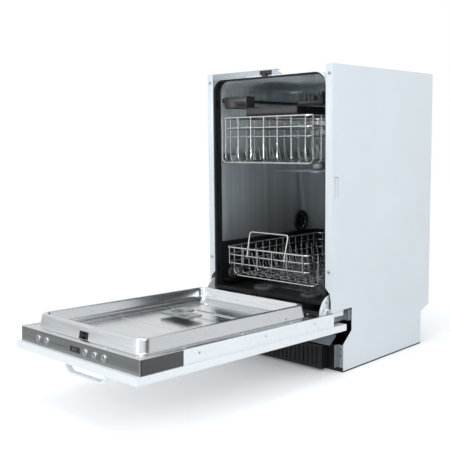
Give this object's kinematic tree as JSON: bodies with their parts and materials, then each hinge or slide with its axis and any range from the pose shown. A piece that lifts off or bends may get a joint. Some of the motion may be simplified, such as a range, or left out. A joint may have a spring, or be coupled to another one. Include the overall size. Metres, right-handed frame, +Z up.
{
  "type": "built-in dishwasher",
  "caption": "Slim built-in dishwasher with a drop-down door, furniture front panel, sliding baskets, cutlery tray, spray arms and a dispenser.",
  "frame": {"origin": "centre of the base's underside, on the floor", "axes": "+X to the user's right when facing the door, +Y from the door to the back, +Z up"},
  "size_m": [0.45, 1.1655, 0.8152],
  "materials": {
    "painted_steel": "satin powder coat",
    "galvanised": "galvanised sheet",
    "stainless_mirror": "polished stainless",
    "stainless_satin": "satin stainless",
    "fascia_steel": "brushed stainless",
    "casing_steel": "pale coated steel",
    "black_plastic": "moulded, fine grain",
    "black_rubber": "soft seal",
    "grey_plastic": "moulded",
    "dark_grey_plastic": "moulded",
    "pump_metal": "cast",
    "cast_weight": "rough",
    "coated_wire": "stainless wire",
    "front_board": "white laminate",
    "handle_white": "satin white",
    "display_glass": "gloss",
    "board_green": "circuit board",
    "button_chrome": "satin chrome"
  },
  "bodies": {
    "cabinet": {"side_panel_left": "painted_steel", "side_panel_right": "painted_steel", "top_plate": "galvanised", "rear_panel": "galvanised", "base_tray": "black_plastic", "toe_cover": "black_plastic", "front_brackets": "galvanised", "inlet_valve": "black_plastic", "drain_stub": "black_plastic", "power_inlet": "black_plastic", "sump": "black_plastic", "circulation_pump": "pump_metal", "drain_pump": "pump_metal", "softener_tank": "dark_grey_plastic", "counterweight": "cast_weight", "tub_shell": "stainless_mirror", "tub_tank": "black_plastic", "gasket": "black_rubber", "lock_strike": "black_plastic", "vent_nut": "black_plastic", "water_duct": "grey_plastic", "filter_plate": "stainless_mirror", "rack_rails": "galvanised", "hinge_brackets": "galvanised", "door_springs": "galvanised"},
    "door": {"hinge_arms": "casing_steel", "hinge_cheeks": "casing_steel", "door_casing": "casing_steel", "control_fascia": "fascia_steel", "door_liner": "stainless_satin", "furniture_panel": "front_board", "handle": "handle_white", "display_window": "display_glass", "control_board": "board_green", "door_latch": "black_plastic", "dispenser_body": "grey_plastic", "door_seal": "black_rubber", "liner_screws": "stainless_satin"},
    "upper_slides": {"upper_slides": "galvanised"},
    "upper_basket": {"upper_basket": "coated_wire", "upper_feed": "grey_plastic"},
    "upper_spray_arm": {"upper_spray_arm": "grey_plastic"},
    "cutlery_tray": {"cutlery_tray": "dark_grey_plastic"},
    "lower_basket": {"lower_basket": "coated_wire"},
    "wheels_front": {"wheels_front": "dark_grey_plastic"},
    "wheels_rear": {"wheels_rear": "dark_grey_plastic"},
    "lower_spray_arm": {"lower_spray_arm": "grey_plastic"},
    "filter_cup": {"filter_cup": "dark_grey_plastic"},
    "salt_cap": {"salt_cap": "dark_grey_plastic"},
    "foot_front_left": {"foot_front_left": "black_rubber"},
    "foot_front_right": {"foot_front_right": "black_rubber"},
    "foot_rear": {"foot_rear": "black_rubber"},
    "latch_bolt": {"latch_bolt": "black_plastic"},
    "dispenser_lid": {"dispenser_lid": "grey_plastic"},
    "rinse_cap": {"rinse_cap": "dark_grey_plastic"},
    "button_1": {"button_1": "button_chrome"},
    "button_2": {"button_2": "button_chrome"},
    "button_3": {"button_3": "button_chrome"},
    "button_4": {"button_4": "button_chrome"},
    "button_5": {"button_5": "button_chrome"}
  },
  "joints": [
    {"name": "door_hinge", "type": "hinge", "parent": "cabinet", "child": "door", "pos_m": [0, -0.2635, 0.173], "axis": [-1, 0, 0], "range_deg": [0, 88.4]},
    {"name": "lower_basket_slide", "type": "slide", "parent": "cabinet", "child": "lower_basket", "axis": [0, 1, 0], "range_m": [-0.385, 0]},
    {"name": "upper_basket_slide", "type": "slide", "parent": "cabinet", "child": "upper_basket", "axis": [0, 1, 0], "range_m": [-0.36, 0]},
    {"name": "cutlery_tray_slide", "type": "slide", "parent": "cabinet", "child": "cutlery_tray", "axis": [0, 1, 0], "range_m": [-0.34, 0]},
    {"name": "upper_slides_travel", "type": "slide", "parent": "cabinet", "child": "upper_slides", "axis": [0, 1, 0], "range_m": [-0.18, 0]},
    {"name": "wheels_front_roll", "type": "hinge", "parent": "lower_basket", "child": "wheels_front", "pos_m": [0, -0.1965, 0.2273], "axis": [1, 0, 0], "range_deg": [0, 1300]},
    {"name": "wheels_rear_roll", "type": "hinge", "parent": "lower_basket", "child": "wheels_rear", "pos_m": [0, 0.1435, 0.2273], "axis": [1, 0, 0], "range_deg": [0, 1300]},
    {"name": "lower_arm_spin", "type": "hinge", "parent": "cabinet", "child": "lower_spray_arm", "pos_m": [0, 0.0055, 0.199], "axis": [0, 0, 1], "continuous": true},
    {"name": "upper_arm_spin", "type": "hinge", "parent": "upper_basket", "child": "upper_spray_arm", "pos_m": [0, -0.0165, 0.53], "axis": [0, 0, 1], "continuous": true},
    {"name": "filter_twist", "type": "hinge", "parent": "cabinet", "child": "filter_cup", "pos_m": [0.105, -0.1905, 0.195], "axis": [0, 0, 1], "range_deg": [0, 90]},
    {"name": "salt_cap_twist", "type": "hinge", "parent": "cabinet", "child": "salt_cap", "pos_m": [-0.065, -0.1905, 0.195], "axis": [0, 0, 1], "range_deg": [0, 180]},
    {"name": "foot_front_left_screw", "type": "slide", "parent": "cabinet", "child": "foot_front_left", "axis": [0, 0, 1], "range_m": [-0.03, 0]},
    {"name": "foot_front_right_screw", "type": "slide", "parent": "cabinet", "child": "foot_front_right", "axis": [0, 0, 1], "range_m": [-0.03, 0]},
    {"name": "foot_rear_screw", "type": "slide", "parent": "cabinet", "child": "foot_rear", "axis": [0, 0, 1], "range_m": [-0.03, 0]},
    {"name": "button_1_press", "type": "slide", "parent": "door", "child": "button_1", "axis": [0, 0.9996, -0.0279], "range_m": [0, 0.0015], "stiffness_N_per_m": 400},
    {"name": "button_2_press", "type": "slide", "parent": "door", "child": "button_2", "axis": [0, 0.9996, -0.0279], "range_m": [0, 0.0015], "stiffness_N_per_m": 400},
    {"name": "button_3_press", "type": "slide", "parent": "door", "child": "button_3", "axis": [0, 0.9996, -0.0279], "range_m": [0, 0.0015], "stiffness_N_per_m": 400},
    {"name": "button_4_press", "type": "slide", "parent": "door", "child": "button_4", "axis": [0, 0.9996, -0.0279], "range_m": [0, 0.0015], "stiffness_N_per_m": 400},
    {"name": "button_5_press", "type": "slide", "parent": "door", "child": "button_5", "axis": [0, 0.9996, -0.0279], "range_m": [0, 0.0015], "stiffness_N_per_m": 400},
    {"name": "latch_bolt_press", "type": "slide", "parent": "door", "child": "latch_bolt", "axis": [0, 0.0279, 0.9996], "range_m": [0, 0.003], "stiffness_N_per_m": 300},
    {"name": "dispenser_lid_slide", "type": "slide", "parent": "door", "child": "dispenser_lid", "axis": [0, 0.9996, -0.0279], "range_m": [0, 0.036]},
    {"name": "rinse_cap_turn", "type": "hinge", "parent": "door", "child": "rinse_cap", "pos_m": [-0.047, -0.55475, 0.18614], "axis": [0, 0.0279, 0.9996], "range_deg": [0, 90]}
  ],
  "couplings": [
    {"joint": "upper_slides_travel", "follows": "upper_basket_slide", "ratio": 0.5},
    {"joint": "wheels_front_roll", "follows": "lower_basket_slide", "rad_per_m": -58.824},
    {"joint": "wheels_rear_roll", "follows": "lower_basket_slide", "rad_per_m": -58.824}
  ]
}
